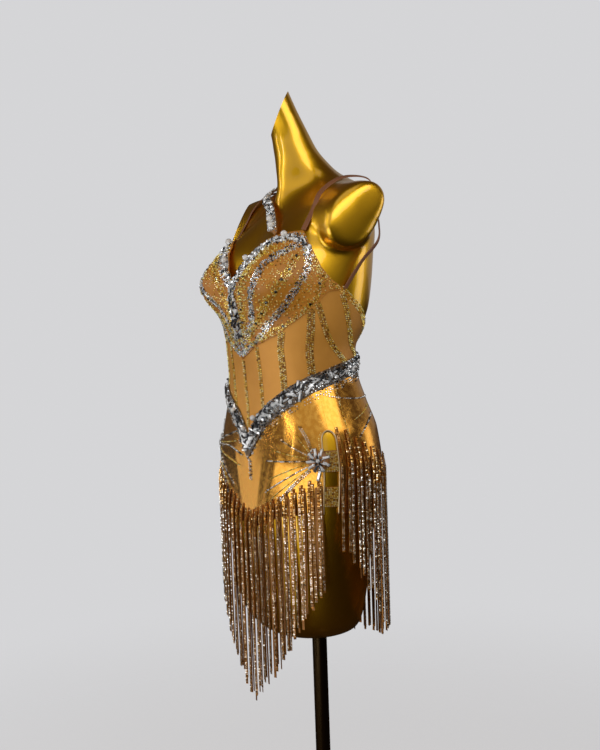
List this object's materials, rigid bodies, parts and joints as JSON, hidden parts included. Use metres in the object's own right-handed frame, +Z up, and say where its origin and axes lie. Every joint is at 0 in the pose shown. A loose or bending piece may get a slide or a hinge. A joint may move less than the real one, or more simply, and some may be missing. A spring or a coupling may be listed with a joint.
{
  "type": "latin dance dress on a limbless dress form",
  "caption": "Fitted stage dress with stone-set cups, net midriff, pointed crystal waistband, gold skirt with a side slit and long strand fringe, on a gold dress form on a pole stand.",
  "frame": {"origin": "centre of the stand base's underside, on the line of the pole", "axes": "+Z up along the pole, the front of the dress faces -Y and the wearer's left is +X"},
  "size_m": [0.3463, 0.34, 1.5883],
  "materials": {
    "form_gold": "glossy gold paint over a moulded shell",
    "stand_metal": "dark gold satin",
    "cup_left": "tan net covered with silver and gold stones",
    "cup_right": "tan net covered with silver and gold stones",
    "midriff_front": "fine tan net",
    "midriff_side_left": "fine tan net",
    "midriff_side_right": "fine tan net",
    "waistband_left": "tan net covered with silver and gold stones",
    "waistband_right": "tan net covered with silver and gold stones",
    "skirt_front": "shiny gold stretch cloth",
    "skirt_back": "shiny gold stretch cloth",
    "slit_band_upper": "tan net covered with silver and gold stones",
    "slit_band_lower": "tan net covered with silver and gold stones",
    "hip_ornament_left": "cluster of black and silver long stones",
    "hip_ornament_right": "cluster of black and silver long stones",
    "strap_left": "tan elastic",
    "strap_right": "tan elastic",
    "strap_beaded": "tan net covered with silver and gold stones",
    "fringe_front_upper": "copper tape set with silver crystals",
    "fringe_front_lower": "copper tape set with silver crystals",
    "fringe_back_upper": "copper tape set with silver crystals",
    "fringe_back_lower": "copper tape set with silver crystals",
    "fringe_right_upper": "copper tape set with silver crystals",
    "fringe_right_lower": "copper tape set with silver crystals"
  },
  "bodies": {
    "root": {"form_torso": "form_gold", "stand_pole": "stand_metal", "stand_base": "stand_metal", "cup_left": "cup_left", "cup_right": "cup_right", "midriff_front": "midriff_front", "midriff_side_left": "midriff_side_left", "midriff_side_right": "midriff_side_right", "waistband_left": "waistband_left", "waistband_right": "waistband_right", "skirt_front": "skirt_front", "skirt_back": "skirt_back", "slit_band_upper": "slit_band_upper", "slit_band_lower": "slit_band_lower", "hip_ornament_left": "hip_ornament_left", "hip_ornament_right": "hip_ornament_right", "strap_left": "strap_left", "strap_right": "strap_right", "strap_beaded": "strap_beaded", "fringe_front_upper": "fringe_front_upper", "fringe_front_lower": "fringe_front_lower", "fringe_back_upper": "fringe_back_upper", "fringe_back_lower": "fringe_back_lower", "fringe_right_upper": "fringe_right_upper", "fringe_right_lower": "fringe_right_lower"}
  },
  "joints": []
}
